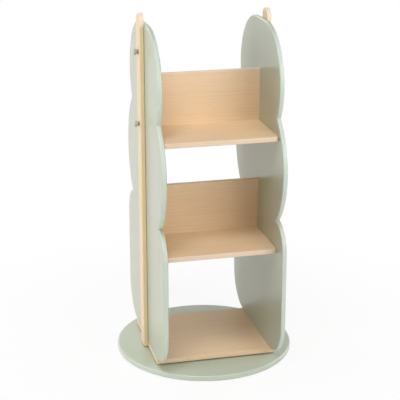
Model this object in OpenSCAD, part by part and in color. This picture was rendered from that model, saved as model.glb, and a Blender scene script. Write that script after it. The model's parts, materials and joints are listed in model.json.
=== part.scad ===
// Revolving bookcase for a child's room. A round base carries a turning tower: a bottom board
// and two shelves between lobed side panels, with a wooden post up the middle of each panel.
// Millimetres, +Z up, front towards -Y, origin on the floor under the middle of the base.

/* [Base] */
// Diameter of the base disc
disc_d = 450; // [420:1:520]
// Thickness of the base disc
disc_t = 15; // [13:0.5:22]
// Rounding of the disc's edges
disc_round = 4; // [1:0.5:6]
// Diameter of a felt floor pad
pad_d = 30; // [15:1:40]
// Thickness of a felt floor pad
pad_t = 2; // [1:0.5:5]
// Number of floor pads
pad_count = 6; // [3:1:8]
// Distance from the disc's edge to a pad's middle
pad_inset = 35; // [25:1:60]

/* [Bearing] */
// Outer diameter of the lower bearing race
race_d = 150; // [140:1:170]
// Hole through both races
race_hole = 90; // [80:1:100]
// Thickness of each race
race_t = 3.5; // [3.5:0.1:4.5]
// Gap between the two races
race_gap = 3; // [2.5:0.1:3.5]
// Diameter of a bearing ball
ball_d = 6; // [5:0.1:6.4]
// Number of bearing balls
ball_count = 16; // [8:1:20]
// Clearance around a ball in its grooves and in the cage
ball_clearance = 0.15; // [0.05:0.05:0.3]
// Width of the ball cage's ring
cage_w = 10; // [9:0.5:11]
// Thickness of the ball cage
cage_t = 1.6; // [1:0.1:2]
// Wall of the upper race's skirt
skirt_t = 2; // [1:0.5:4]
// Reach of the lip that holds the lower race from below
lip_reach = 3; // [2:0.5:4]
// Thickness of that lip
lip_t = 1; // [0.8:0.1:1.2]
// Height of the lip above the pocket's floor
lip_lift = 0.4; // [0.3:0.1:0.6]
// Running clearance between the races
race_clearance = 0.5; // [0.3:0.1:0.7]
// Clearance between the skirt and the pocket's wall
pocket_clearance = 1; // [0.5:0.5:4]
// Gap between the disc's top and the bottom board
turn_gap = 4; // [3:0.5:6]

/* [Boards] */
// Thickness of the bottom board and the shelves
board_t = 12; // [11:0.5:18]
// Clear width between the side panels
shelf_w = 281; // [250:1:330]
// Depth of the two shelves, front to back
shelf_d = 350; // [320:1:380]
// Depth of the bottom board, front to back
bottom_d = 270; // [240:1:320]
// Clear height of the bottom bay
bottom_bay_h = 272; // [240:1:290]
// Clear height of the middle bay
middle_bay_h = 272; // [250:1:300]
// Rounding of the boards' edges
board_round = 1.5; // [0.5:0.5:3]
// Radius of a shelf's corners, seen from above
shelf_corner_r = 6; // [4:0.5:12]
// Height of a divider
divider_h = 130; // [100:1:180]
// Thickness of a divider
divider_t = 12; // [9:0.5:18]

/* [Side panels] */
// Thickness of a side panel
panel_t = 12; // [10:0.5:18]
// Height of a side panel
panel_h = 822; // [800:1:840]
// Rounding of a panel's edges
panel_round = 4; // [2:0.5:4.5]
// Depth of the lowest lobe, front to back
lower_lobe_d = 443; // [420:1:448]
// Height of the lowest lobe above the panel's foot
lower_lobe_h = 354; // [340:1:370]
// Corner radius at the panel's foot
foot_r = 95; // [70:1:110]
// Corner radius at the lowest lobe's shoulder
shoulder_r = 70; // [60:1:80]
// Depth of the middle lobe, front to back
middle_lobe_d = 431; // [410:1:445]
// Radius of the middle lobe's round sides
middle_lobe_r = 167; // [155:1:180]
// Height of the middle lobe's centre above the panel's foot
middle_lobe_z = 477; // [465:1:490]
// Depth of the top lobe, front to back
top_lobe_d = 350; // [335:1:370]
// Radius of the top lobe's round sides
top_lobe_r = 139; // [130:1:148]

/* [Posts and pegs] */
// Width of a post
post_w = 42; // [34:1:50]
// Thickness of a post
post_t = 11; // [9:0.5:16]
// Height of a post above its panel
post_rise = 25; // [10:1:40]
// Rounding of a post's edges
post_round = 1.5; // [1:0.5:3]
// Diameter of a peg's head
peg_d = 16; // [13:0.5:20]
// Length of a peg outside its post
peg_l = 13; // [8:0.5:30]
// Rounding of a peg's head
peg_round = 3; // [1:0.5:5]
// Diameter of a peg's neck
neck_d = 10; // [9:0.5:12]
// Length of a peg's neck, from the post to the head
neck_l = 4; // [2:0.5:6]
// Diameter of a peg's tenon
tenon_d = 8; // [6:0.5:10]
// Wood left behind a peg's tenon
tenon_skin = 3; // [2:0.5:5]
// Height from the upper peg to the post's top
peg_drop = 94; // [60:1:120]
// Height from the lower peg to the upper peg
peg_pitch = 178; // [120:1:200]

/* [Fasteners] */
// Head diameter of a bearing screw
race_screw_head_d = 6.4; // [5:0.1:7]
// Shank diameter of a bearing screw
race_screw_d = 3; // [2.5:0.1:3.5]
// Depth of a bearing screw in the wood
race_screw_bite = 5; // [3:0.5:6]
// Number of screws in each race
race_screw_count = 6; // [3:1:8]
// Head diameter of a board screw
board_screw_head_d = 8; // [7:0.1:9]
// Shank diameter of a board screw
board_screw_d = 4; // [3.5:0.1:5]
// Depth of a board screw past its board
board_screw_bite = 33; // [20:1:50]
// Distance between the board screws under a panel
panel_screw_pitch = 85; // [60:1:110]
// Distance between the two screws under a divider
divider_screw_pitch = 160; // [100:1:200]
// Diameter of a wooden dowel
dowel_d = 6; // [5:0.5:8]
// Depth of a dowel in a shelf's end
dowel_bite = 16; // [10:1:24]
// Panel or post wood left behind a dowel or a cam bolt
dowel_skin = 4; // [3:0.5:5]
// Distance between the dowels in a shelf's end
dowel_pitch = 240; // [200:1:280]
// Number of dowels behind each post
post_dowel_count = 3; // [2:1:4]
// Distance between the cam locks at a shelf's end
cam_pitch = 120; // [80:1:160]
// Distance from a cam lock's middle to the shelf's end
cam_inset = 24; // [18:1:34]
// Diameter of a cam lock
cam_d = 12; // [11:0.5:15]
// Wood left above a cam lock
cam_skin = 2.5; // [1.5:0.5:4]
// Diameter of a cam bolt's thread
cam_bolt_d = 5; // [4:0.5:6]
// Diameter of a cam bolt's neck
cam_neck_d = 3.6; // [3:0.1:4]
// Diameter of a cam bolt's head
cam_head_d = 6; // [5:0.1:6.4]
// Length of a cam bolt's head
cam_head_l = 3; // [2:0.5:4]
// Clearance around dowels, tenons and screws in their holes
fit_clearance = 0.05; // [0.02:0.01:0.1]
// Clearance around a cam lock and a cam bolt
cam_clearance = 0.2; // [0.1:0.05:0.3]

/* [Hidden] */
$fn = 96;

sage = [0.74, 0.77, 0.68];
birch = [0.87, 0.75, 0.60];
pine = [0.90, 0.80, 0.62];
steel = [0.70, 0.71, 0.73];
nylon = [0.88, 0.87, 0.82];
felt = [0.30, 0.29, 0.27];

// Heights, from the floor up
disc_top = pad_t + disc_t;
bottom_z = disc_top + turn_gap;
panel_z = bottom_z + board_t;
middle_z = panel_z + bottom_bay_h;
top_z = middle_z + board_t + middle_bay_h;
post_top = panel_z + panel_h + post_rise;
shelf_heights = [middle_z, top_z];
peg_heights = [post_top - peg_drop, post_top - peg_drop - peg_pitch];

// Planes of the side panels and posts
inner_x = shelf_w / 2;
outer_x = inner_x + panel_t;
post_x = outer_x + post_t;

// Bearing: the lower race lies in a pocket of the disc, and the upper race under the bottom board
race_r = race_d / 2;
pocket_depth = 2 * race_t + race_gap - turn_gap;
pocket_z = disc_top - pocket_depth;
skirt_r = race_r + race_clearance;
pocket_r = skirt_r + skirt_t + pocket_clearance;
upper_race_z = bottom_z - race_t;
ball_ring_r = (race_d + race_hole) / 4;
ball_z = (pocket_z + race_t + upper_race_z) / 2;
groove_r = ball_d / 2 + ball_clearance;
race_screw_r = (race_hole / 2 + ball_ring_r - groove_r) / 2;
race_screw_l = race_t + race_screw_bite;

// Fasteners
board_screw_l = board_t + board_screw_bite;
panel_screw_x = inner_x + panel_t / 2;
panel_bite = panel_t - dowel_skin;
post_bite = post_t - dowel_skin;
dowel_hole_d = dowel_d + 2 * fit_clearance;
tenon_l = post_t - tenon_skin;
cam_h = board_t - cam_skin;
cam_x = inner_x - cam_inset;
end_play = 0.5;
overcut = 1;

// A flat rectangle about the origin with round corners
module rounded_rect(w, h, r) {
    square([w - 2 * r, h], center = true);
    square([w, h - 2 * r], center = true);
    for (x = [-1, 1], y = [-1, 1])
        translate([x * (w / 2 - r), y * (h / 2 - r)])
            circle(r = r);
}

// Half of a plate's section: from its middle line out to a rounded edge
module edge_section(reach, t, r) {
    square([reach - r, t]);
    translate([reach - 2 * r, r])
        square([2 * r, t - 2 * r]);
    for (z = [r, t - r])
        translate([reach - r, z])
            circle(r = r);
}

// A plate drawn flat in XY, stood up in the YZ plane with its thickness along +X
module stand_up() {
    rotate([90, 0, 90])
        children();
}

// A straight side of a flat plate: its half section, carried along X
module plate_side(run, reach, t, r) {
    translate([-run / 2, 0, 0])
        stand_up()
            linear_extrude(run)
                edge_section(reach, t, r);
}

// A round corner or a half round of a flat plate, its half section swept about a centre
module plate_turn(x, y, reach, from_angle, sweep, t, r) {
    translate([x, y, 0])
        rotate(from_angle)
            rotate_extrude(angle = sweep)
                edge_section(reach, t, r);
}

// One side, and the same piece mirrored for the other side
module on_side(side) {
    mirror([side < 0 ? 1 : 0, 0, 0])
        children();
}

// A straight countersunk shape, head at z = 0 and point at z = -length
module countersunk(head_d, shank_d, length, point) {
    rotate_extrude()
        polygon([
            [0, 0],
            [head_d / 2, 0],
            [shank_d / 2, (shank_d - head_d) / 2],
            [shank_d / 2, point - length],
            [0, -length]
        ]);
}

// A countersunk wood screw with a cross recess
module screw(head_d, shank_d, length) {
    recess_w = head_d * 0.55;
    slot_w = head_d * 0.14;
    recess_h = (head_d - shank_d) / 2;
    difference() {
        countersunk(head_d, shank_d, length, shank_d);
        for (turn = [0, 90])
            rotate(turn)
                translate([-recess_w / 2, -slot_w / 2, -recess_h])
                    cube([recess_w, slot_w, recess_h + overcut]);
    }
}

// The hole that takes such a screw, with its mouth cut open
module screw_hole(head_d, shank_d, length) {
    grow = 2 * fit_clearance;
    countersunk(head_d + grow, shank_d + grow, length + fit_clearance, 0);
    cylinder(d = head_d + grow, h = overcut);
}

// A dowel along +X between two depths, with chamfered ends
module dowel(from_x, to_x) {
    chamfer = dowel_d / 8;
    translate([from_x, 0, 0])
        rotate([0, 90, 0])
            rotate_extrude()
                polygon([
                    [0, 0],
                    [dowel_d / 2 - chamfer, 0],
                    [dowel_d / 2, chamfer],
                    [dowel_d / 2, to_x - from_x - chamfer],
                    [dowel_d / 2 - chamfer, to_x - from_x],
                    [0, to_x - from_x]
                ]);
}

// A round hole along +X between two depths
module bore_x(from_x, to_x, d) {
    translate([from_x, 0, 0])
        rotate([0, 90, 0])
            cylinder(d = d, h = to_x - from_x);
}

// Places of the repeated fasteners
module at_pads() {
    for (i = [0 : pad_count - 1])
        rotate(i * 360 / pad_count - 90)
            translate([disc_d / 2 - pad_inset, 0, 0])
                children();
}

module at_race_screws() {
    for (i = [0 : race_screw_count - 1])
        rotate(i * 360 / race_screw_count)
            translate([race_screw_r, 0, 0])
                children();
}

module at_balls() {
    for (i = [0 : ball_count - 1])
        rotate(i * 360 / ball_count)
            translate([ball_ring_r, 0, ball_z])
                children();
}

module at_panel_screws() {
    for (i = [-1 : 1])
        translate([panel_screw_x, i * panel_screw_pitch, bottom_z])
            mirror([0, 0, 1])
                children();
}

module at_divider_screws() {
    for (x = [-1, 1])
        translate([x * divider_screw_pitch / 2, 0, 0])
            mirror([0, 0, 1])
                children();
}

module at_shelf_ends(pitch) {
    for (z = shelf_heights, y = [-1, 1])
        translate([0, y * pitch / 2, z + board_t / 2])
            children();
}

module at_post_dowels() {
    for (i = [0 : post_dowel_count - 1])
        translate([0, 0, panel_z + panel_h * (i + 0.5) / post_dowel_count])
            children();
}

// The base

module base_disc() {
    color(sage)
        difference() {
            translate([0, 0, pad_t])
                rotate_extrude()
                    edge_section(disc_d / 2, disc_t, disc_round);
            translate([0, 0, pocket_z])
                cylinder(r = pocket_r, h = pocket_depth + overcut);
            translate([0, 0, pocket_z + race_t])
                at_race_screws()
                    screw_hole(race_screw_head_d, race_screw_d, race_screw_l);
        }
}

module floor_pads() {
    color(felt)
        at_pads()
            cylinder(d = pad_d, h = pad_t);
}

// The bearing

module ball_groove() {
    translate([0, 0, ball_z])
        rotate_extrude()
            translate([ball_ring_r, 0])
                circle(r = groove_r);
}

module race_plate(r, z) {
    translate([0, 0, z])
        rotate_extrude()
            translate([race_hole / 2, 0])
                square([r - race_hole / 2, race_t]);
}

module lower_race() {
    rebate_r = race_r - lip_reach - race_clearance;
    rebate_h = lip_lift + lip_t + race_clearance;
    color(steel)
        difference() {
            race_plate(race_r, pocket_z);
            ball_groove();
            translate([0, 0, pocket_z - overcut])
                rotate_extrude()
                    translate([rebate_r, 0])
                        square([race_r - rebate_r + overcut, rebate_h + overcut]);
            translate([0, 0, pocket_z + race_t])
                at_race_screws()
                    screw_hole(race_screw_head_d, race_screw_d, race_screw_l);
        }
}

module lower_race_screws() {
    color(steel)
        translate([0, 0, pocket_z + race_t])
            at_race_screws()
                screw(race_screw_head_d, race_screw_d, race_screw_l);
}

module ball_cage() {
    color(nylon)
        difference() {
            translate([0, 0, ball_z - cage_t / 2])
                rotate_extrude()
                    translate([ball_ring_r - cage_w / 2, 0])
                        square([cage_w, cage_t]);
            at_balls()
                cylinder(r = groove_r, h = ball_d, center = true);
        }
}

module bearing_balls() {
    color(steel)
        at_balls()
            sphere(d = ball_d);
}

module upper_race() {
    lip_z = pocket_z + lip_lift;
    skirt_h = upper_race_z - lip_z;
    color(steel)
        difference() {
            union() {
                race_plate(skirt_r + skirt_t, upper_race_z);
                translate([0, 0, lip_z])
                    rotate_extrude() {
                        translate([skirt_r, 0])
                            square([skirt_t, skirt_h]);
                        translate([race_r - lip_reach, 0])
                            square([lip_reach + race_clearance, lip_t]);
                    }
            }
            ball_groove();
            translate([0, 0, upper_race_z])
                at_race_screws()
                    mirror([0, 0, 1])
                        screw_hole(race_screw_head_d, race_screw_d, race_screw_l);
        }
}

module upper_race_screws() {
    color(steel)
        translate([0, 0, upper_race_z])
            at_race_screws()
                mirror([0, 0, 1])
                    screw(race_screw_head_d, race_screw_d, race_screw_l);
}

// Boards and dividers

module bottom_board() {
    color(birch)
        difference() {
            translate([-outer_x, 0, bottom_z + board_t / 2])
                stand_up()
                    linear_extrude(2 * outer_x)
                        rounded_rect(bottom_d, board_t, board_round);
            translate([0, 0, upper_race_z])
                at_race_screws()
                    mirror([0, 0, 1])
                        screw_hole(race_screw_head_d, race_screw_d, race_screw_l);
            for (side = [-1, 1])
                on_side(side)
                    at_panel_screws()
                        screw_hole(board_screw_head_d, board_screw_d, board_screw_l);
        }
}

// A shelf's board, with round corners and all its edges rounded
module shelf_board() {
    corner_x = shelf_w / 2 - shelf_corner_r;
    corner_y = shelf_d / 2 - shelf_corner_r;
    for (turn = [0, 180])
        rotate(turn) {
            plate_side(2 * corner_x, shelf_d / 2, board_t, board_round);
            rotate(90)
                plate_side(2 * corner_y, shelf_w / 2, board_t, board_round);
            plate_turn(corner_x, corner_y, shelf_corner_r, 0, 90, board_t, board_round);
            plate_turn(-corner_x, corner_y, shelf_corner_r, 90, 90, board_t, board_round);
        }
}

// A shelf with its cam bores, dowel bores and the holes of the divider's screws
module shelf(z) {
    bore_d = cam_head_d + 2 * cam_clearance;
    difference() {
        translate([0, 0, z])
            shelf_board();
        for (side = [-1, 1], y = [-1, 1])
            on_side(side)
                translate([0, 0, z]) {
                    translate([cam_x, y * cam_pitch / 2, -overcut])
                        cylinder(r = cam_d / 2 + cam_clearance, h = cam_h + cam_clearance + overcut);
                    translate([0, y * cam_pitch / 2, board_t / 2])
                        bore_x(cam_x, inner_x + overcut, bore_d);
                    translate([0, y * dowel_pitch / 2, board_t / 2])
                        bore_x(inner_x - dowel_bite - end_play, inner_x + overcut, dowel_hole_d);
                }
        translate([0, 0, z])
            at_divider_screws()
                screw_hole(board_screw_head_d, board_screw_d, board_screw_l);
    }
}

module middle_shelf() {
    color(birch)
        shelf(middle_z);
}

module top_shelf() {
    color(birch)
        shelf(top_z);
}

// A low board that parts a shelf into a front and a back half, its upper edges rounded
module divider(z) {
    foot_h = divider_h / 2;
    difference() {
        translate([-shelf_w / 2, 0, z + board_t])
            stand_up()
                linear_extrude(shelf_w) {
                    translate([0, divider_h / 2])
                        rounded_rect(divider_t, divider_h, board_round);
                    translate([-divider_t / 2, 0])
                        square([divider_t, foot_h]);
                }
        translate([0, 0, z])
            at_divider_screws()
                screw_hole(board_screw_head_d, board_screw_d, board_screw_l);
    }
}

module middle_divider() {
    color(birch)
        divider(middle_z);
}

module upper_divider() {
    color(birch)
        divider(top_z);
}

module divider_screws() {
    color(steel)
        for (z = shelf_heights)
            translate([0, 0, z])
                at_divider_screws()
                    screw(board_screw_head_d, board_screw_d, board_screw_l);
}

// Side panels

// A lobe with half-round sides: two half discs and the straight stretch between them
module round_lobe(depth, r, y) {
    run = depth / 2 - r;
    for (side = [0, 180])
        translate([0, y, 0])
            rotate(side) {
                plate_turn(run, 0, r, -90, 180, panel_t, panel_round);
                plate_side(2 * run, r, panel_t, panel_round);
            }
}

// The lowest lobe: straight sides, round shoulders and a foot with round corners
module lower_lobe() {
    half = lower_lobe_d / 2;
    shoulder_y = lower_lobe_h - shoulder_r;
    for (side = [-1, 1])
        on_side(side) {
            plate_turn(half - foot_r, foot_r, foot_r, -90, 90, panel_t, panel_round);
            plate_turn(half - shoulder_r, shoulder_y, shoulder_r, 0, 90, panel_t, panel_round);
            translate([0, shoulder_y, 0])
                rotate([90, 0, 0])
                    linear_extrude(shoulder_y - foot_r)
                        edge_section(half, panel_t, panel_round);
            cube([half - foot_r, foot_r, panel_t]);
            translate([0, shoulder_y, 0])
                cube([half - shoulder_r, shoulder_r, panel_t]);
        }
}

// The straight middle of the panel, as wide as the top lobe's flat, from the foot up through all lobes
module panel_middle() {
    run = top_lobe_d - 2 * top_lobe_r;
    translate([-run / 2, 0, 0])
        cube([run, panel_h - top_lobe_r, panel_t]);
}

// The right-hand panel with the bores of its fasteners
module side_panel() {
    difference() {
        translate([inner_x, 0, panel_z])
            stand_up() {
                lower_lobe();
                round_lobe(middle_lobe_d, middle_lobe_r, middle_lobe_z);
                round_lobe(top_lobe_d, top_lobe_r, panel_h - top_lobe_r);
                panel_middle();
            }
        at_panel_screws()
            screw_hole(board_screw_head_d, board_screw_d, board_screw_l);
        at_shelf_ends(dowel_pitch)
            bore_x(inner_x - overcut, inner_x + panel_bite + end_play, dowel_hole_d);
        at_shelf_ends(cam_pitch)
            bore_x(inner_x - overcut, inner_x + panel_bite + end_play, cam_bolt_d + 2 * fit_clearance);
        at_post_dowels()
            bore_x(outer_x - panel_bite - end_play, outer_x + overcut, dowel_hole_d);
    }
}

module left_panel() {
    color(sage)
        on_side(-1)
            side_panel();
}

module right_panel() {
    color(sage)
        on_side(1)
            side_panel();
}

module panel_screws() {
    color(steel)
        for (side = [-1, 1])
            on_side(side)
                at_panel_screws()
                    screw(board_screw_head_d, board_screw_d, board_screw_l);
}

module shelf_dowels() {
    color(pine)
        for (side = [-1, 1])
            on_side(side)
                at_shelf_ends(dowel_pitch)
                    dowel(inner_x - dowel_bite, inner_x + panel_bite);
}

// Bolts screwed into the panels, with a neck and a head that the cam locks draw in
module cam_bolts() {
    color(steel)
        for (side = [-1, 1])
            on_side(side)
                at_shelf_ends(cam_pitch) {
                    bore_x(inner_x, inner_x + panel_bite, cam_bolt_d);
                    bore_x(cam_x, inner_x, cam_neck_d);
                    bore_x(cam_x - cam_head_l / 2, cam_x + cam_head_l / 2, cam_head_d);
                }
}

// Round locks let into the shelves' undersides, hollow where a bolt's head comes in
module cam_lock() {
    slot_l = cam_d * 0.6;
    slot_w = cam_d * 0.12;
    slot_h = 2;
    hollow_d = cam_head_d + 2 * cam_clearance;
    difference() {
        cylinder(d = cam_d, h = cam_h);
        translate([0, 0, board_t / 2])
            bore_x(-cam_head_l / 2 - cam_clearance, cam_d, hollow_d);
        for (turn = [45, 135])
            rotate(turn)
                translate([-slot_l / 2, -slot_w / 2, -overcut])
                    cube([slot_l, slot_w, slot_h + overcut]);
    }
}

module cam_locks() {
    color(steel)
        for (side = [-1, 1])
            on_side(side)
                at_shelf_ends(cam_pitch)
                    translate([cam_x, 0, -board_t / 2])
                        cam_lock();
}

// Posts and pegs

// The right-hand post: a strip with a round top, bored for its dowels and pegs
module side_post() {
    straight = post_top - post_w / 2 - bottom_z;
    difference() {
        union() {
            translate([outer_x + post_t / 2, 0, bottom_z])
                linear_extrude(straight)
                    rounded_rect(post_t, post_w, post_round);
            translate([outer_x, 0, bottom_z + straight])
                stand_up()
                    rotate_extrude(angle = 180)
                        edge_section(post_w / 2, post_t, post_round);
        }
        at_post_dowels()
            bore_x(outer_x - overcut, outer_x + post_bite + end_play, dowel_hole_d);
        for (z = peg_heights)
            translate([0, 0, z])
                bore_x(post_x - tenon_l - end_play, post_x + overcut, tenon_d + 2 * fit_clearance);
    }
}

module left_post() {
    color(pine)
        on_side(-1)
            side_post();
}

module right_post() {
    color(pine)
        on_side(1)
            side_post();
}

module post_dowels() {
    color(pine)
        for (side = [-1, 1])
            on_side(side)
                at_post_dowels()
                    dowel(outer_x - panel_bite, outer_x + post_bite);
}

// A short turned peg: a tenon glued into the post, a narrow neck and a rounded head
module peg(side, z) {
    head_l = peg_l - neck_l;
    head_round = min(peg_round, 0.4 * min(peg_d / 2, head_l));
    on_side(side)
        translate([post_x, 0, z])
            rotate([0, 90, 0]) {
                rotate_extrude() {
                    square([neck_d / 2, neck_l + head_round]);
                    translate([0, neck_l])
                        edge_section(peg_d / 2, head_l, head_round);
                }
                translate([0, 0, -tenon_l])
                    cylinder(d = tenon_d, h = tenon_l);
            }
}

module left_upper_peg() {
    color(sage)
        peg(-1, peg_heights[0]);
}

module left_lower_peg() {
    color(sage)
        peg(-1, peg_heights[1]);
}

module right_upper_peg() {
    color(sage)
        peg(1, peg_heights[0]);
}

module right_lower_peg() {
    color(sage)
        peg(1, peg_heights[1]);
}

base_disc();
floor_pads();
lower_race();
lower_race_screws();
ball_cage();
bearing_balls();
upper_race();
upper_race_screws();
bottom_board();
panel_screws();
left_panel();
right_panel();
middle_shelf();
top_shelf();
shelf_dowels();
cam_bolts();
cam_locks();
middle_divider();
upper_divider();
divider_screws();
left_post();
right_post();
post_dowels();
left_upper_peg();
left_lower_peg();
right_upper_peg();
right_lower_peg();
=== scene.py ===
# %% [markdown]
# A revolving bookcase for a child's room. Two lobed side panels, three boards and two low
# dividers make a tower that turns on a round base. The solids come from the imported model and
# stay where they are. This lesson dresses them: it sets the camera, mixes the finishes from
# shader nodes, adds the thin pieces that the solids leave out, and lights the scene softly.

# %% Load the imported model
import json
import math

import bmesh
import bpy
import numpy as np
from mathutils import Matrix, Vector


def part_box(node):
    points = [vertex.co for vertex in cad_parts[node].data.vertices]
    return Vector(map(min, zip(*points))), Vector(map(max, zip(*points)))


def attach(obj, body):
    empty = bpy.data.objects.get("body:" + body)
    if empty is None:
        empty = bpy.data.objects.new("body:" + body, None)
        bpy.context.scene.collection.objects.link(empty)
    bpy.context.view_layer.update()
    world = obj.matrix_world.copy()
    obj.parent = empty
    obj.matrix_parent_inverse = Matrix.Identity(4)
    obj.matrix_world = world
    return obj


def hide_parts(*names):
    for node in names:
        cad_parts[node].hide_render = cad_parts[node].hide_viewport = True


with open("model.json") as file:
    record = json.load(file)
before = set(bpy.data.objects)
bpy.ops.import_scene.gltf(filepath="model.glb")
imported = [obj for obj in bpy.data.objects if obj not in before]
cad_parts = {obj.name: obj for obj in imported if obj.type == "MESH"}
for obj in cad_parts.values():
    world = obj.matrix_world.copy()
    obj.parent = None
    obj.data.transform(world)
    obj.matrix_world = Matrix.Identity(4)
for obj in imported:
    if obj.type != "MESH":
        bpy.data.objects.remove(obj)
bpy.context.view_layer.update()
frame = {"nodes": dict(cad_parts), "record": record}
solids = frame["nodes"]
scene = bpy.context.scene


# %% [markdown]
# The camera stands to the left of the front and looks down a little, so that the left panel's
# outer face and the tops of the boards both show. It could be placed by eye, but a small error
# tilts every edge, so its place, its two angles and its focal length were fitted to the picture
# of the real bookcase. The picture is 400 pixels wide, so the lens is the focal length in pixels
# times the sensor's width over 400. The Standard view shows a colour as it is written.

# %% Camera
PICTURE_WIDTH = 400
SENSOR_WIDTH = 36.0
FOCAL_PIXELS = 1259.5
CAMERA_PLACE = (-0.7259, -2.9357, 1.3947)
CAMERA_TURN = math.radians(-13.70)
CAMERA_DIP = math.radians(18.24)

camera_data = bpy.data.cameras.new("camera")
camera_data.sensor_width = SENSOR_WIDTH
camera_data.lens = FOCAL_PIXELS * SENSOR_WIDTH / PICTURE_WIDTH
camera = bpy.data.objects.new("camera", camera_data)
camera.location = CAMERA_PLACE
camera.rotation_euler = (math.pi / 2 - CAMERA_DIP, 0, CAMERA_TURN)
scene.collection.objects.link(camera)
scene.camera = camera
scene.view_settings.view_transform = "Standard"
print("lens:", round(camera_data.lens, 2), "mm")

# %% [markdown]
# Every finish below is a small network of shader nodes. It could be wired by hand in the editor,
# but a script can be read and changed line by line. One helper adds any node and fills its
# sockets. The others add the nodes that come back most often, such as a sum, a mix of two
# colours, a smooth step and stretched noise.

# %% Helpers for shader nodes
def put(tree, kind, sockets=None, **settings):
    """Adds a node, sets its own settings, then fills or wires its input sockets."""
    made = tree.nodes.new(kind)
    for name, value in settings.items():
        setattr(made, name, value)
    for name, value in (sockets or {}).items():
        if isinstance(value, bpy.types.NodeSocket):
            tree.links.new(value, made.inputs[name])
        else:
            made.inputs[name].default_value = value
    return made


def sums(tree, operation, first, second=0.0):
    """One Math node: the operation on one or two numbers or sockets."""
    return put(tree, "ShaderNodeMath", {0: first, 1: second}, operation=operation).outputs[0]


def times(tree, first, second):
    """The product of two numbers or sockets."""
    return sums(tree, "MULTIPLY", first, second)


def axes_of(tree, vector):
    """The three parts of a vector."""
    return put(tree, "ShaderNodeSeparateXYZ", {0: vector}).outputs


def length_of(tree, vector):
    """The length of a vector."""
    return put(tree, "ShaderNodeVectorMath", {0: vector}, operation="LENGTH").outputs["Value"]


def mix_colour(tree, share, first, second):
    """The first colour, with that share of the second mixed in."""
    return put(tree, "ShaderNodeMix", {0: share, 6: first, 7: second}, data_type="RGBA").outputs[2]


def ramp(tree, value, low, high, to_low=0.0, to_high=1.0):
    """A smooth step: to_low where the value is low, to_high where it is high."""
    return put(tree, "ShaderNodeMapRange",
               {"Value": value, "From Min": low, "From Max": high, "To Min": to_low, "To Max": to_high},
               interpolation_type="SMOOTHSTEP").outputs[0]


def cloud(tree, vector, lumps, detail=2.0, roughness=0.5):
    """Noise between 0 and 1, with so many lumps per metre along each of the three axes."""
    stretched = put(tree, "ShaderNodeMapping", {"Vector": vector, "Scale": lumps}).outputs[0]
    return put(tree, "ShaderNodeTexNoise",
               {"Vector": stretched, "Scale": 1.0, "Detail": detail, "Roughness": roughness}).outputs[0]


helpers = (put, sums, times, axes_of, length_of, mix_colour, ramp, cloud)
print("node helpers:", [helper.__name__ for helper in helpers])

# %% [markdown]
# An effect that several finishes share, such as grain or edge wear, is a node group. It could be
# wired again in each material, but a group is built once, has named inputs and outputs, and is
# placed in each material with that material's own values.

# %% Helpers for node groups
NUMBER, VECTOR = "NodeSocketFloat", "NodeSocketVector"


def shader_group(name, inputs, outputs):
    """A new node group with the named inputs and outputs, and the sockets inside its two ends."""
    group = bpy.data.node_groups.new(name, "ShaderNodeTree")
    for label, kind, default in inputs:
        socket = group.interface.new_socket(name=label, in_out="INPUT", socket_type=kind)
        if default is not None:
            socket.default_value = default
    for label in outputs:
        group.interface.new_socket(name=label, in_out="OUTPUT", socket_type=NUMBER)
    return group, group.nodes.new("NodeGroupInput").outputs, group.nodes.new("NodeGroupOutput").inputs


def put_out(group, end, results):
    """Wires each result to the group's output of that name."""
    for label, socket in results.items():
        group.links.new(socket, end[label])


def use_group(tree, group, sockets):
    """Places a group in a material with the material's own values, and gives its outputs."""
    return put(tree, "ShaderNodeGroup", sockets, node_tree=group).outputs


print("group helpers:", [helper.__name__ for helper in (shader_group, put_out, use_group)])

# %% [markdown]
# The boards are pale veneer with the grain along their length. Wood grain has three scales:
# growth bands that run nearly straight, streaks of fibre, and short dark pores. A band could be
# a wave texture, but a saw-tooth of the distance across the grain, with one steep side, looks
# more like early and late wood. The group takes a vector whose X runs along the grain, so it
# serves a shelf and a post once the material has turned its coordinates.

# %% Group: wood figure
def grain(along, across):
    """Lumps of noise per metre along the grain, and across it on both other axes."""
    return (along, across, across)


NOISE_MIDDLE = 0.5
BEND_LUMPS = grain(0.9, 7.0)
FADE_LUMPS = grain(1.5, 16.0)
TONE_LUMPS = grain(1.2, 9.0)
COARSE_FIBRE = grain(2.5, 130.0)
FINE_FIBRE = grain(9.0, 620.0)
PORE_LUMPS = grain(30.0, 1300.0)
BAND_RISE = (0.0, 0.80)
BAND_FALL = (0.82, 1.0)
BAND_FADE = (0.35, 0.65)
FADED_BAND = 0.25
COARSE_SHARE = 0.6
PORE_PEAK = (0.62, 0.72)
PORE_DEPTH = 0.5


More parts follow.
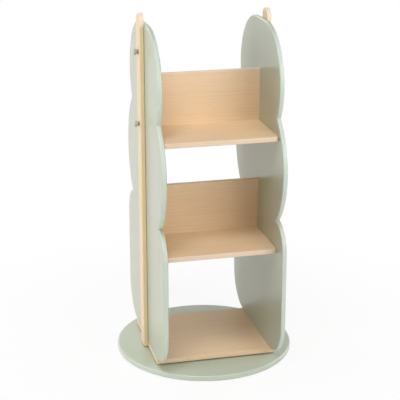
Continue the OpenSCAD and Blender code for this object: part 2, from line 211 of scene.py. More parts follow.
def wood_figure_group():
    """Bands are a saw-tooth of the distance across the grain, bent by slow noise and faded in
    patches. Fibre and pores are noise stretched hard along the grain."""
    group, start, end = shader_group(
        "wood figure",
        [("Vector", VECTOR, None), ("Band Spacing", NUMBER, 0.01), ("Wander", NUMBER, 2.0)],
        ["Bands", "Fibre", "Pores", "Tone", "Height"])
    vector = start["Vector"]
    spans = axes_of(group, vector)
    bend = sums(group, "SUBTRACT", cloud(group, vector, BEND_LUMPS), NOISE_MIDDLE)
    bend = times(group, bend, start["Wander"])
    steps = sums(group, "DIVIDE", sums(group, "ADD", spans[1], spans[2]), start["Band Spacing"])
    saw = sums(group, "FRACT", sums(group, "ADD", steps, bend))
    tooth = times(group, ramp(group, saw, *BAND_RISE), ramp(group, saw, *BAND_FALL, 1.0, 0.0))
    fade = ramp(group, cloud(group, vector, FADE_LUMPS, detail=1.0), *BAND_FADE, FADED_BAND, 1.0)
    coarse = cloud(group, vector, COARSE_FIBRE, detail=3.0, roughness=0.6)
    fine = cloud(group, vector, FINE_FIBRE, roughness=0.6)
    fibre = sums(group, "ADD", times(group, coarse, COARSE_SHARE), times(group, fine, 1 - COARSE_SHARE))
    pores = ramp(group, cloud(group, vector, PORE_LUMPS, detail=1.0), *PORE_PEAK)
    put_out(group, end, {
        "Bands": times(group, tooth, fade),
        "Fibre": fibre,
        "Pores": pores,
        "Tone": cloud(group, vector, TONE_LUMPS, detail=1.0),
        "Height": sums(group, "SUBTRACT", fibre, times(group, pores, PORE_DEPTH))})
    return group


wood_figure = wood_figure_group()
print("group:", wood_figure.name, [socket.name for socket in wood_figure.interface.items_tree])

# %% [markdown]
# The green pieces are fibreboard with sprayed satin paint. Sprayed paint has a fine peel like the
# skin of an orange, slow changes of tone where the coats overlap, and tiny specks. A picture of
# real paint could be wrapped round the panels, but it would show its seams. Noise in three
# dimensions has none, and it stays sharp from close by.

# %% Group: sprayed paint
DRIFT_LUMPS = (4.0, 4.0, 2.2)
SPECK_LUMPS = (1500.0, 1500.0, 1500.0)
SPECK_PEAK = (0.72, 0.80)


def sprayed_paint_group():
    """Peel is fine noise, drift is slow noise, specks are the peaks of a very fine noise."""
    group, start, end = shader_group(
        "sprayed paint", [("Vector", VECTOR, None), ("Peel Scale", NUMBER, 700.0)],
        ["Drift", "Specks", "Peel"])
    vector = start["Vector"]
    peel = put(group, "ShaderNodeTexNoise",
               {"Vector": vector, "Scale": start["Peel Scale"], "Detail": 2.0}).outputs[0]
    put_out(group, end, {
        "Drift": cloud(group, vector, DRIFT_LUMPS, roughness=0.55),
        "Specks": ramp(group, cloud(group, vector, SPECK_LUMPS, detail=0.0), *SPECK_PEAK),
        "Peel": peel})
    return group


sprayed_paint = sprayed_paint_group()
print("group:", sprayed_paint.name, [socket.name for socket in sprayed_paint.interface.items_tree])

# %% [markdown]
# Edges and dust are shared by paint, wood and metal. On the real pieces the rounded edges are
# rubbed, and dust lies where a face points up, in loose patches. Edges could be found by how
# sharply a mesh bends, but the solids are loose triangles, so the mask comes from the piece's own
# normal: an edge is where the surface turns away from the main faces. A plate with a round
# outline also names the axis across its faces, and then its narrow side counts as one more face
# all the way round.

# %% Groups: rubbed edge and dust
EDGE_TURN = (0.995, 0.80)
EDGE_LUMPS = (60.0, 60.0, 60.0)
EDGE_PATCH = (0.42, 0.62)
SIDE_TURN = (0.5, 0.9)
DUST_SLOPE = (0.6, 1.0)
DUST_LUMPS = (22.0, 22.0, 22.0)
DUST_PATCH = (0.35, 0.75)


def rubbed_edge_group():
    """The side is the length of the normal's cross product with the plate's axis. The edge is where
    that and the normal's share along each of the three axes are all small, broken up by noise."""
    group, start, end = shader_group(
        "rubbed edge",
        [("Vector", VECTOR, None), ("Normal", VECTOR, None), ("Axis", VECTOR, (0.0, 0.0, 0.0)),
         ("Break Up", NUMBER, 0.5)],
        ["Rub", "Side"])
    shares = [sums(group, "ABSOLUTE", share) for share in axes_of(group, start["Normal"])]
    flat = sums(group, "MAXIMUM", sums(group, "MAXIMUM", shares[0], shares[1]), shares[2])
    across = put(group, "ShaderNodeVectorMath", {0: start["Normal"], 1: start["Axis"]},
                 operation="CROSS_PRODUCT").outputs["Vector"]
    side = length_of(group, across)
    edge = ramp(group, sums(group, "MAXIMUM", flat, side), *EDGE_TURN)
    noise = cloud(group, start["Vector"], EDGE_LUMPS, detail=3.0, roughness=0.65)
    gaps = sums(group, "SUBTRACT", 1.0, ramp(group, noise, *EDGE_PATCH))
    kept = sums(group, "SUBTRACT", 1.0, times(group, start["Break Up"], gaps))
    put_out(group, end, {"Rub": times(group, edge, kept), "Side": ramp(group, side, *SIDE_TURN)})
    return group


def dust_group():
    """The upward share of the normal times patchy noise, times the amount of dust."""
    group, start, end = shader_group(
        "dust", [("Vector", VECTOR, None), ("Normal", VECTOR, None), ("Amount", NUMBER, 0.2)], ["Dust"])
    upward = ramp(group, axes_of(group, start["Normal"])[2], *DUST_SLOPE)
    noise = cloud(group, start["Vector"], DUST_LUMPS, detail=4.0, roughness=0.65)
    patches = times(group, upward, ramp(group, noise, *DUST_PATCH))
    put_out(group, end, {"Dust": times(group, patches, start["Amount"])})
    return group


rubbed_edge = rubbed_edge_group()
dust_film = dust_group()
print("groups:", rubbed_edge.name, dust_film.name)

# %% [markdown]
# A finish starts as a material with one Principled shader. Its colour, roughness and bump are
# then wired from the groups, and what is the same all over is set on the shader itself. The
# patterns could follow an unwrapped map, but every piece lies in one frame in metres, so its own
# coordinates give each grain and speck its true size.

# %% Helpers for finishes
def new_finish(name, **shader_values):
    """A material with its shader, and the piece's own coordinates and normal."""
    material = bpy.data.materials.new(name)
    material.use_nodes = True
    tree = material.node_tree
    shader = tree.nodes["Principled BSDF"]
    for label, value in shader_values.items():
        shader.inputs[label.replace("_", " ").title()].default_value = value
    place = put(tree, "ShaderNodeTexCoord").outputs
    return material, tree, shader, place["Object"], place["Normal"]


def bump(tree, shader, height, depth, strength):
    """A Bump node of that depth in metres, wired to the shader's normal."""
    made = put(tree, "ShaderNodeBump", {"Height": height, "Distance": depth, "Strength": strength})
    tree.links.new(made.outputs[0], shader.inputs["Normal"])


def feed(tree, shader, label, socket):
    """Wires a socket to one of the shader's inputs."""
    tree.links.new(socket, shader.inputs[label])


print("finish helpers:", [helper.__name__ for helper in (new_finish, bump, feed)])

# %% [markdown]
# Paint on the panels, the base and the pegs. The green is greyed and pale. One flat colour would
# look like plastic, so the drift changes it a little over a hand's breadth, the rubbed edges are
# lighter, and dust greys what faces up. The narrow sides are painted lighter, a painted light,
# but not on top, where they keep the face's colour. On a peg, the groove between its head and the
# post is painted dark, a painted shade.

# %% Finish: sage paint
SAGE_PALE = (0.642, 0.740, 0.664, 1.0)
SAGE_DUST = (0.560, 0.560, 0.500, 1.0)
# Painted shade for a groove: its dark colour and its largest share.
GROOVE_SHADE = (0.200, 0.175, 0.100, 1.0)
GROOVE_SHADE_SHARE = 0.75
NOISE_RANGE = (0.3, 0.7)
DEEP_PAINT = 0.94
# Heights of the normal between which the narrow side's painted light fades out towards the top.
UNLIT_TOP = 0.98
LIT_SLOPE = 0.75
PAINT_RUB = 0.15
SPECK_SHARE = 0.12
SHEEN_SPREAD = 0.12
RUB_POLISH = 0.06
DUST_DULLS = 0.4
PEEL_DEPTH = 0.00012
PEEL_STRENGTH = 0.35


def sage_paint(name, green, side, axis, dust_amount, roughness, groove=None):
    """The green drifts towards a deeper tone. Over it come the narrow side's painted light, which
    leaves out the top, the rubbed edges, the specks, the dust and, in a groove, painted shade. The
    roughness follows the drift, falls where the paint is rubbed and rises under dust."""
    material, tree, shader, place, normal = new_finish(name, coat_weight=0.15, coat_roughness=0.16)
    film = use_group(tree, sprayed_paint, {"Vector": place})
    edge = use_group(tree, rubbed_edge,
                     {"Vector": place, "Normal": normal, "Axis": axis, "Break Up": 0.45})
    dust = use_group(tree, dust_film, {"Vector": place, "Normal": normal, "Amount": dust_amount})["Dust"]
    deep = tuple(c * DEEP_PAINT for c in green[:3]) + (1.0,)
    colour = mix_colour(tree, ramp(tree, film["Drift"], *NOISE_RANGE), deep, green)
    # The narrow side's lighter colour is a painted light, faded out where the side faces up.
    side_lit_share = ramp(tree, axes_of(tree, normal)[2], UNLIT_TOP, LIT_SLOPE)
    colour = mix_colour(tree, times(tree, edge["Side"], side_lit_share), colour, side)
    colour = mix_colour(tree, times(tree, edge["Rub"], PAINT_RUB), colour, SAGE_PALE)
    colour = mix_colour(tree, times(tree, film["Specks"], SPECK_SHARE), colour, deep)
    colour = mix_colour(tree, dust, colour, SAGE_DUST)
    # A groove is painted dark, a painted shade.
    if groove:
        reach = sums(tree, "ABSOLUTE", axes_of(tree, place)[0])
        shade_in_groove = ramp(tree, reach, groove[1], groove[0], 0.0, GROOVE_SHADE_SHARE)
        colour = mix_colour(tree, shade_in_groove, colour, GROOVE_SHADE)
    feed(tree, shader, "Base Color", colour)
    sheen = sums(tree, "ADD", roughness - SHEEN_SPREAD / 2, times(tree, film["Drift"], SHEEN_SPREAD))
    sheen = sums(tree, "SUBTRACT", sheen, times(tree, edge["Rub"], RUB_POLISH))
    sheen = sums(tree, "ADD", sheen, times(tree, dust, DUST_DULLS))
    feed(tree, shader, "Roughness", sheen)
    bump(tree, shader, film["Peel"], PEEL_DEPTH, PEEL_STRENGTH)
    return material


print("finish:", sage_paint.__name__)

# %% [markdown]
# One tin of paint could do for all, but the base is mixed a little lighter and greener than the
# panels, a painted light, and the pegs a little deeper, a painted shade, so each has its own mix.
# A groove is the stretch of distance from the tower's middle over which the painted shade fades
# out.

# %% Panel, base and peg paint
SAGE = (0.486, 0.523, 0.413, 1.0)
# The side colours are painted light on the narrow sides.
SAGE_LIT_SIDE = (0.617, 0.695, 0.600, 1.0)
# The base's lighter, greener mix is a painted light, and the pegs' deeper mix a painted shade.
BASE_SAGE = (0.558, 0.626, 0.504, 1.0)
BASE_LIT_SIDE = (0.581, 0.637, 0.529, 1.0)
PEG_SAGE = (0.470, 0.530, 0.400, 1.0)
ACROSS_PANEL = (1.0, 0.0, 0.0)
ACROSS_DISC = (0.0, 0.0, 1.0)
# The stretch over which the peg groove's painted shade fades out.
PEG_GROOVE = (0.1665, 0.1678)
panel_paint = sage_paint("panel paint", SAGE, SAGE_LIT_SIDE, ACROSS_PANEL, dust_amount=0.06, roughness=0.32)
base_paint = sage_paint("base paint", BASE_SAGE, BASE_LIT_SIDE, ACROSS_DISC, dust_amount=0.12, roughness=0.34)
peg_paint = sage_paint("peg paint", PEG_SAGE, PEG_SAGE, ACROSS_PANEL, dust_amount=0.06, roughness=0.32,
                       groove=PEG_GROOVE)
print("paints:", panel_paint.name, base_paint.name, peg_paint.name)

# %% [markdown]
# Wood on the boards and posts. A picture of a plank could be wrapped round each piece, but a
# pattern on the piece's own coordinates runs through it as grain does, so faces and edges agree.
# A Mapping node turns the coordinates so that X runs along the grain. Growth bands and fibre
# darken the pale ground, the pores are darker still, and the lacquer follows the fibre in its
# roughness and bump. On a post, the narrow sides beside the panel are painted darker and yellower,
# a painted shade cast by the panel, and the narrow sides and top above the panel are painted
# paler, a painted light. The groove where the post's rounded edge meets the panel is painted darker
# still, a painted shade.

# %% Finish: pale wood
WARM_TONE = (1.0, 0.97, 0.92)
BAND_TONE = (0.88, 0.82, 0.74)
PORE_TONE = (0.66, 0.58, 0.50)
RUBBED_TONE = (1.08, 1.10, 1.14)
LIGHTEST = 0.95
# A post's narrow sides: painted shade beside the panel, painted light above it.
SHADED_FLANK = (0.946, 0.728, 0.433, 1.0)
LIT_FLANK = (0.940, 0.800, 0.610, 1.0)
WOOD_DUST = (0.64, 0.60, 0.54, 1.0)
PANEL_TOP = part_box("left_panel")[1].z
# The height over which the panel's painted shade fades out at its top.
PANEL_SHADE_FADE = 0.012
FLANK_SHARE = 0.85
FIBRE_RANGE = (0.40, 0.68)
PORE_SHARE = 0.3
WOOD_RUB = 0.25
LACQUER_SPREAD = 0.16
GRAIN_DEPTH = 0.00015
GRAIN_STRENGTH = 0.35


def shade(colour, factors):
    """A colour with each channel multiplied by its own factor, kept below white."""
    return tuple(min(c * f, LIGHTEST) for c, f in zip(colour, factors)) + (1.0,)


def pale_wood(name, ground, turn, spacing, contrast, rough=0.46, axis=(0.0, 0.0, 0.0), groove=None):
    """The ground drifts towards a warmer tone. Bands and fibre darken it, then come the painted light
    and shade on the flank of a post, the pores, the rubbed edges, the dust and, in a groove, painted
    shade. The roughness follows the fibre, and the pores are cut into the bump."""
    material, tree, shader, place, normal = new_finish(name, coat_weight=0.08, coat_roughness=0.35)
    along = put(tree, "ShaderNodeMapping", {"Vector": place, "Rotation": turn}).outputs[0]
    figure = use_group(tree, wood_figure, {"Vector": along, "Band Spacing": spacing})
    edge = use_group(tree, rubbed_edge,
                     {"Vector": place, "Normal": normal, "Axis": axis, "Break Up": 0.6})
    dust = use_group(tree, dust_film, {"Vector": place, "Normal": normal, "Amount": 0.05})["Dust"]
    band = shade(ground, BAND_TONE)
    tone = ramp(tree, figure["Tone"], *NOISE_RANGE)
    colour = mix_colour(tree, tone, ground + (1.0,), shade(ground, WARM_TONE))
    colour = mix_colour(tree, times(tree, figure["Bands"], contrast), colour, band)
    colour = mix_colour(tree, ramp(tree, figure["Fibre"], *FIBRE_RANGE, 0.0, contrast), colour, band)
    if groove:
        # The narrow sides take painted shade beside the panel and painted light above it.
        spans = axes_of(tree, place)
        panel_shade = ramp(tree, spans[2], PANEL_TOP, PANEL_TOP - PANEL_SHADE_FADE)
        flank_light_and_shade = mix_colour(tree, panel_shade, LIT_FLANK, SHADED_FLANK)
        colour = mix_colour(tree, times(tree, edge["Side"], FLANK_SHARE), colour, flank_light_and_shade)
    colour = mix_colour(tree, times(tree, figure["Pores"], PORE_SHARE), colour, shade(ground, PORE_TONE))
    colour = mix_colour(tree, times(tree, edge["Rub"], WOOD_RUB), colour, shade(ground, RUBBED_TONE))
    colour = mix_colour(tree, dust, colour, WOOD_DUST)
    if groove:
        # The groove beside the panel is painted dark, a painted shade.
        reach = sums(tree, "ABSOLUTE", spans[0])
        shade_in_groove = ramp(tree, reach, groove[1], groove[0], 0.0, GROOVE_SHADE_SHARE)
        shade_in_groove = times(tree, shade_in_groove, times(tree, panel_shade, edge["Side"]))
        colour = mix_colour(tree, shade_in_groove, colour, GROOVE_SHADE)
    feed(tree, shader, "Base Color", colour)
    fibre_dulls = times(tree, figure["Fibre"], LACQUER_SPREAD)
    feed(tree, shader, "Roughness", sums(tree, "ADD", rough - LACQUER_SPREAD / 2, fibre_dulls))
    bump(tree, shader, figure["Height"], GRAIN_DEPTH, GRAIN_STRENGTH)
    return material


print("finish:", pale_wood.__name__, "panel top:", round(PANEL_TOP, 4), "m")

# %% [markdown]
# Four woods come from that one recipe. The boards have wide bands, the edge bands and dowels
# narrow ones, and the posts are turned so that their grain stands upright. Each wood could have a
# network of its own, but one recipe with other values keeps them alike, as woods in one piece of
# furniture are.

# %% Board, edge band, post and dowel wood
LENGTHWISE = (0.0, 0.0, 0.0)
UPRIGHT = (0.0, math.pi / 2, 0.0)
BOARD_GROUND = (0.905, 0.684, 0.461)
BAND_GROUND = (0.876, 0.690, 0.517)
POST_GROUND = (0.812, 0.656, 0.453)
DOWEL_GROUND = (0.730, 0.540, 0.350)
# The stretch over which the post groove's painted shade fades out.
POST_GROOVE = (0.1530, 0.1546)
board_wood = pale_wood("board wood", BOARD_GROUND, LENGTHWISE, spacing=0.009, contrast=0.36)
band_wood = pale_wood("edge band wood", BAND_GROUND, LENGTHWISE, spacing=0.003, contrast=0.25, rough=0.42)
post_wood = pale_wood("post wood", POST_GROUND, UPRIGHT, spacing=0.007, contrast=0.40,
                      axis=ACROSS_PANEL, groove=POST_GROOVE)
dowel_wood = pale_wood("dowel wood", DOWEL_GROUND, LENGTHWISE, spacing=0.003, contrast=0.40)
print("woods:", board_wood.name, band_wood.name, post_wood.name, dowel_wood.name)

# %% [markdown]
# Metal, nylon and felt sit inside and underneath. Zinc plating is a soft grey with cloudy
# crystals and fine scratches, and the balls are polished. The cage is moulded nylon and the pads
# are pressed felt. Felt could be a coat of hairs, but under the base only a rough mottle shows,
# so nylon and felt share one plain recipe.

# %% Finishes: plated metal and plain mottle
CRYSTAL_LUMPS = (420.0, 420.0, 420.0)
CRYSTAL_RANGE = (0.35, 0.65)
SCRATCH_LUMPS = (160.0, 2400.0, 2400.0)
SCRATCH_DEPTH = 0.00003
SCRATCH_STRENGTH = 0.3
WORN_METAL = (0.86, 0.86, 0.87, 1.0)
METAL_RUB = 0.4
MOTTLE_RANGE = (0.2, 0.8)
MOTTLE_DULLS = 0.12
MOTTLE_STRENGTH = 0.6


def plated_metal(name, bright, dull, smooth, rough):
    """Crystals are noise between a dull and a bright grey, and the dull ones are rougher. Rubbed
    edges are brighter, and the scratches are noise stretched along X."""
    material, tree, shader, place, normal = new_finish(name, metallic=1.0)
    edge = use_group(tree, rubbed_edge, {"Vector": place, "Normal": normal, "Break Up": 0.5})
    crystals = cloud(tree, place, CRYSTAL_LUMPS, detail=3.0, roughness=0.6)
    colour = mix_colour(tree, ramp(tree, crystals, *CRYSTAL_RANGE), dull, bright)
    colour = mix_colour(tree, times(tree, edge["Rub"], METAL_RUB), colour, WORN_METAL)
    feed(tree, shader, "Base Color", colour)
    feed(tree, shader, "Roughness", ramp(tree, crystals, *NOISE_RANGE, rough, smooth))
    bump(tree, shader, cloud(tree, place, SCRATCH_LUMPS, detail=1.0), SCRATCH_DEPTH, SCRATCH_STRENGTH)
    return material


def plain_mottle(name, light, dark, lumps, depth, rough):
    """One noise carries the colour from dark to light, the roughness and the bump."""
    material, tree, shader, place, _ = new_finish(name)
    mottle = cloud(tree, place, (lumps, lumps, lumps), detail=4.0, roughness=0.7)
    feed(tree, shader, "Base Color", mix_colour(tree, ramp(tree, mottle, *NOISE_RANGE), dark, light))
    feed(tree, shader, "Roughness", ramp(tree, mottle, *MOTTLE_RANGE, rough, rough + MOTTLE_DULLS))
    bump(tree, shader, mottle, depth, MOTTLE_STRENGTH)
    return material


print("finishes:", plated_metal.__name__, plain_mottle.__name__)

# %% Steel, zinc, nylon and felt
PLATE_TONES = (0.74, 0.75, 0.77, 1.0), (0.58, 0.59, 0.62, 1.0)
CAST_TONES = (0.60, 0.60, 0.62, 1.0), (0.46, 0.46, 0.49, 1.0)
BALL_TONES = (0.82, 0.82, 0.84, 1.0), (0.74, 0.74, 0.77, 1.0)
NYLON_TONES = (0.80, 0.79, 0.73, 1.0), (0.72, 0.71, 0.65, 1.0)
FELT_TONES = (0.30, 0.29, 0.27, 1.0), (0.13, 0.125, 0.115, 1.0)
zinc_plate = plated_metal("zinc plate", *PLATE_TONES, smooth=0.26, rough=0.42)
cast_zinc = plated_metal("cast zinc", *CAST_TONES, smooth=0.38, rough=0.55)
ball_steel = plated_metal("ball steel", *BALL_TONES, smooth=0.08, rough=0.16)
cage_nylon = plain_mottle("cage nylon", *NYLON_TONES, lumps=300.0, depth=0.0001, rough=0.45)
grey_felt = plain_mottle("grey felt", *FELT_TONES, lumps=900.0, depth=0.0006, rough=0.86)
print("metals:", zinc_plate.name, cast_zinc.name, ball_steel.name)
print("nylon and felt:", cage_nylon.name, grey_felt.name)

# %% [markdown]
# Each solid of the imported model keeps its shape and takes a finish. The finishes could be handed
# out piece by piece, but the record already names a material slot for every solid, so a short
# table from slot to finish is enough. Only the base has a paint of its own.

# %% Dress the solids
finishes = {"sage_paint": panel_paint, "peg_paint": peg_paint, "board_wood": board_wood,
            "post_wood": post_wood, "dowel_wood": dowel_wood, "steel": zinc_plate, "zinc": cast_zinc,
            "ball_steel": ball_steel, "nylon": cage_nylon, "felt": grey_felt}
for row in frame["record"]["subparts"]:
    solid = solids[row["node"]]
    finish = base_paint if row["node"] == "base_disc" else finishes[row["material_slot"]]
    solid.data.materials.clear()
    solid.data.materials.append(finish)

# %% [markdown]
# The new pieces are closed tubes of points: a ring, the next ring, and so on. Blender's own
# primitives could be bent into shape, but with numpy the points come from a formula as one array.
# One helper joins the rings, turns the faces outwards and makes the piece ride on its body.

# %% Mesh from rings of points
SHARP_TURN = math.radians(40)


def ring_piece(name, points, finish, body, slot):
    """A mesh from rings of points: points[k, i, j] is place j on ring i of shell k. Neighbouring
    rings are joined by quads that go round, and each shell's two end rings are closed by a face."""
    shells, rings, around = points.shape[:3]
    index = np.arange(shells * rings * around).reshape(shells, rings, around)
    here, there = index[:, :-1], index[:, 1:]
    quads = np.stack([here, np.roll(here, -1, 2), np.roll(there, -1, 2), there], -1).reshape(-1, 4)
    faces = quads.tolist() + index[:, 0, ::-1].tolist() + index[:, -1].tolist()
    mesh = bpy.data.meshes.new(name)
    mesh.from_pydata(points.reshape(-1, 3).tolist(), [], faces)
    shell = bmesh.new()
    shell.from_mesh(mesh)
    bmesh.ops.recalc_face_normals(shell, faces=shell.faces)
    shell.to_mesh(mesh)
    shell.free()
    mesh.shade_smooth()
    mesh.set_sharp_from_angle(angle=SHARP_TURN)
    mesh.materials.append(finish)
    piece = bpy.data.objects.new(name, mesh)
    scene.collection.objects.link(piece)
    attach(piece, body)
    return piece


print("mesh helper:", ring_piece.__name__)

# %% [markdown]
# The raw edges of the shelves and dividers are closed with a thin glued strip of paler wood, the
# edge band. It could be a second colour on the board, but a real band stands a hair proud and
# leaves a fine line on both sides, so it is a piece of its own. Its section is half of a rounded
# bar outside, and the same curve sunk into the board inside. On a divider the section is carried
# along a straight line. On a shelf the path also turns round the two corners.

# %% Section of an edge band
BAND_PROUD = 0.0002
BAND_SINK = 0.0004
BOARD_ROUND = 0.0015
ROUND_STEPS = 8
TAPER_TURN = math.radians(25)


def edge_band(name, path, out, across, thick):
    """The section is a half turn about two corner centres, one near each face of the board, at a
    radius that grows from the corner's own to a little more within the taper and shrinks again.
    The return path is the same half turn at a smaller radius. The section then stands at each
    point of the path, along that point's own outward direction."""
    quarter = np.linspace(0.0, math.pi / 2, ROUND_STEPS)
    turn = np.concatenate([quarter[::-1], -quarter])
    shift = np.repeat([1.0, -1.0], ROUND_STEPS) * (thick / 2 - BOARD_ROUND)
    taper = np.clip((math.pi / 2 - np.abs(turn)) / TAPER_TURN, 0.0, 1.0)
    outer = BOARD_ROUND + BAND_PROUD * taper
    inner = np.full_like(turn, BOARD_ROUND - BAND_SINK)
    radius = np.concatenate([outer, inner[::-1]])
    turn = np.concatenate([turn, turn[::-1]])
    shift = np.concatenate([shift, shift[::-1]])
    reach = (radius * np.cos(turn) - BOARD_ROUND)[:, None]
    rise = (shift + radius * np.sin(turn))[:, None]
    points = path[:, None] + reach * out[:, None] + rise * across
    return ring_piece(name, points[None], band_wood, "tower", "board_wood")


print("band: proud", BAND_PROUD, "m, sunk", BAND_SINK, "m")

# %% Edge bands
SHELF_CORNER = 0.006
LAST_TURN = math.radians(70)
X_AXIS, Y_AXIS, Z_AXIS = np.eye(3)


def shelf_band(node, side, facing):
    """The path lies on the shelf's edge: a turn about the left corner's centre, a straight run, and
    a turn about the right corner's centre. It stops just short of the side panels."""
    low, high = (np.array(corner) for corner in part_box(node))
    half = (high - low) / 2
    turn = np.linspace(0.0, LAST_TURN, ROUND_STEPS)
    turn = np.concatenate([-turn[::-1], turn])[:, None]
    out = np.sin(turn) * X_AXIS + facing * np.cos(turn) * Y_AXIS
    centre = np.repeat([-1.0, 1.0], ROUND_STEPS)[:, None] * (half[0] - SHELF_CORNER) * X_AXIS
    centre = centre + facing * (half[1] - SHELF_CORNER) * Y_AXIS
    path = (low + high) / 2 + centre + SHELF_CORNER * out
    return edge_band(f"{node}_{side}_band", path, out, Z_AXIS, high[2] - low[2])


def divider_band(node):
    """The path is the straight middle line of the divider's top."""
    low, high = (np.array(corner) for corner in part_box(node))
    ends = np.array([-0.5, 0.5])[:, None] * (high[0] - low[0]) * X_AXIS
    path = (low + high) / 2 + ends + (high[2] - low[2]) / 2 * Z_AXIS
    return edge_band(f"{node}_top_band", path, np.stack([Z_AXIS, Z_AXIS]), Y_AXIS, high[1] - low[1])


bands = [shelf_band(node, side, facing) for node in ("middle_shelf", "top_shelf")
         for side, facing in (("front", -1.0), ("back", 1.0))]
bands += [divider_band(node) for node in ("middle_divider", "upper_divider")]
print("edge bands:", [(band.name, len(band.data.polygons)) for band in bands])

# %% [markdown]
# Felt pads keep the base off the floor. Pressed felt is cut with a punch, so a pad is a short
# round slab with a soft rim that bulges a little where it is squeezed. A bevelled cylinder could
# stand for it, but its rim would be too even. A lathe makes it instead: a profile of radius and
# height goes round the pad's own axis, and the rim wavers by a few tenths of a millimetre as cut
# felt does.

# %% Felt pads
PAD_COUNT = 6
PAD_RIM_STEPS = 9
PAD_AROUND = 48
PAD_SOFT = 0.0007
PAD_WAVER = 0.0002
WAVER_LOBES = 5
WAVER_OFFSET = 2


def felt_pads():
    """The pads sit on a circle, one at the front and the rest at equal angles, so the box of all pads
    gives the circle and the pad's radius. A rim's profile is a half turn: its height is a cosine and
    its radius the pad's own less a soft corner times one minus a sine. The radius also wavers with
    the angle round the pad, with its lobes turned from pad to pad."""
    low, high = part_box("floor_pads")
    step = 2 * math.pi / PAD_COUNT
    circle = (high.y - high.x) / (1 - math.cos(step / 2))
    pad_radius = high.y - circle
    spot = np.arange(PAD_COUNT)[:, None, None] * step - math.pi / 2
    rim = np.linspace(0.0, math.pi, PAD_RIM_STEPS)[None, :, None]
    around = np.linspace(0.0, 2 * math.pi, PAD_AROUND, endpoint=False)[None, None, :]
    waver = PAD_WAVER * np.sin(WAVER_LOBES * around + WAVER_OFFSET * spot) * np.sin(rim)
    radius = pad_radius - PAD_WAVER - PAD_SOFT * (1 - np.sin(rim)) + waver
    height = (low.z + high.z) / 2 + (high.z - low.z) / 2 * np.cos(rim) + 0 * radius
    points = np.stack([circle * np.cos(spot) + radius * np.cos(around),
                       circle * np.sin(spot) + radius * np.sin(around), height], -1)
    piece = ring_piece("felt_pads", points, grey_felt, "base", "felt")
    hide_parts("floor_pads")
    return piece


pads = felt_pads()
print("pads:", PAD_COUNT, "faces:", len(pads.data.polygons))

# %% [markdown]
# The bookcase stands on a plain pale floor in front of white. Strong lamps could make the floor
# white, but they would flood the object too. Instead, rays from the camera see a white glow, and
# rays that carry light see a matt floor and a dim room, so the light on the object stays at a
# plain level. Near the base the floor glows a little less, so it still shows a soft shadow.

# %% Floor
WHITE = (1.0, 1.0, 1.0, 1.0)
FLOOR_SPAN = 12.0
FLOOR_DROP = 0.0003
FLOOR_MATT = (0.90, 0.90, 0.89, 1.0)
NEAR_GLOW = 0.90
GLOW_REACH = (0.30, 1.0)


def seen_white(tree):
    """One for rays from the camera, a mirror or a clear pane, zero for rays that carry light."""
    path = put(tree, "ShaderNodeLightPath").outputs
    seen = sums(tree, "MAXIMUM", path["Is Camera Ray"], path["Is Glossy Ray"])
    return sums(tree, "MAXIMUM", seen, path["Is Transmission Ray"])


def pale_floor():
    """A mix of a matt surface and a white glow, whose share grows with the distance from the base."""
    material = bpy.data.materials.new("pale floor")
    material.use_nodes = True
    tree = material.node_tree
    tree.nodes.clear()
    matt = put(tree, "ShaderNodeBsdfDiffuse", {"Color": FLOOR_MATT}).outputs[0]
    glow = put(tree, "ShaderNodeEmission", {"Color": WHITE, "Strength": 1.0}).outputs[0]
    away = length_of(tree, put(tree, "ShaderNodeTexCoord").outputs["Object"])
    share = times(tree, seen_white(tree), ramp(tree, away, *GLOW_REACH, NEAR_GLOW, 1.0))
    both = put(tree, "ShaderNodeMixShader", {0: share, 1: matt, 2: glow}).outputs[0]
    put(tree, "ShaderNodeOutputMaterial", {"Surface": both})
    return material


corners = np.array([(-1, -1, 0), (1, -1, 0), (1, 1, 0), (-1, 1, 0)]) * FLOOR_SPAN / 2
corners[:, 2] = -FLOOR_DROP
floor_mesh = bpy.data.meshes.new("floor")
floor_mesh.from_pydata(corners.tolist(), [], [(0, 1, 2, 3)])
floor_mesh.materials.append(pale_floor())
floor = bpy.data.objects.new("floor", floor_mesh)
scene.collection.objects.link(floor)
print("floor:", FLOOR_SPAN, "m across, glow near the base:", NEAR_GLOW)

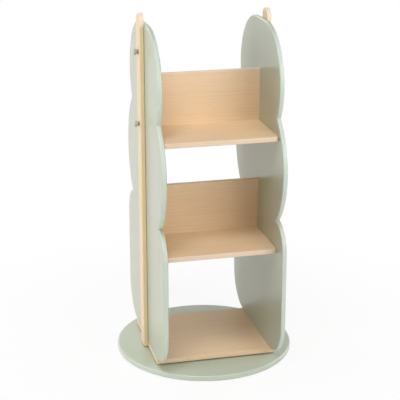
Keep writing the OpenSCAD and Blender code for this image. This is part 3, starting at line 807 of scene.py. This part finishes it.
# %% White room
ROOM_TINT = (1.0, 0.99, 0.97, 1.0)
ROOM_LIGHT = 0.25
world = bpy.data.worlds.new("white room")
scene.world = world
world.use_nodes = True
sky = world.node_tree
sky.nodes.clear()
room = put(sky, "ShaderNodeBackground", {"Color": ROOM_TINT, "Strength": ROOM_LIGHT}).outputs[0]
white = put(sky, "ShaderNodeBackground", {"Color": WHITE, "Strength": 1.0}).outputs[0]
either = put(sky, "ShaderNodeMixShader", {0: seen_white(sky), 1: room, 2: white}).outputs[0]
put(sky, "ShaderNodeOutputWorld", {"Surface": either})
print("room light:", ROOM_LIGHT)

# %% [markdown]
# Five large soft lamps. One lamp could light the front, but the faces that turn away from it would
# go dark. The side lamp stands at the left and a hair behind, so it lights the left panel's outer
# face and leaves the inside of the tower in the panel's shade. The high lamp in front lights the
# tops of the boards steeply, so that each shelf shades the back of the board below it. The right
# lamp stands lower and lights the edges of the panels and boards. The far lamp does for the right
# panel what the side lamp does for the left one. The back lamp shines through the bays, so the
# bottom board throws a thin shadow towards the front of the base.

# %% Lamps
MIDDLE = (0.0, 0.0, 0.45)
LAMPS = (("side lamp", (-2.8, 0.2, 0.9), 1.6, 36.5),
         ("high lamp", (-0.8, -1.5, 3.2), 1.2, 38.5),
         ("right lamp", (1.3, -2.5, 1.6), 1.6, 31.0),
         ("far lamp", (2.8, 0.8, 0.9), 1.6, 26.0),
         ("back lamp", (-0.9, 2.6, 1.8), 1.6, 15.0))


def soft_lamp(name, place, span, watts):
    """A square area lamp at a place, turned towards the middle of the tower. It tilts by the angle
    between the upright and the line back to the lamp, and turns by that line's compass angle."""
    data = bpy.data.lights.new(name, "AREA")
    data.size = span
    data.energy = watts
    lamp = bpy.data.objects.new(name, data)
    back = np.array(place) - np.array(MIDDLE)
    lamp.location = place
    lamp.rotation_euler = (math.acos(back[2] / np.linalg.norm(back)), 0,
                           math.atan2(back[1], back[0]) + math.pi / 2)
    scene.collection.objects.link(lamp)
    return lamp


lamps = [soft_lamp(*row) for row in LAMPS]
print("lamps:", [(lamp.name, lamp.data.energy) for lamp in lamps])
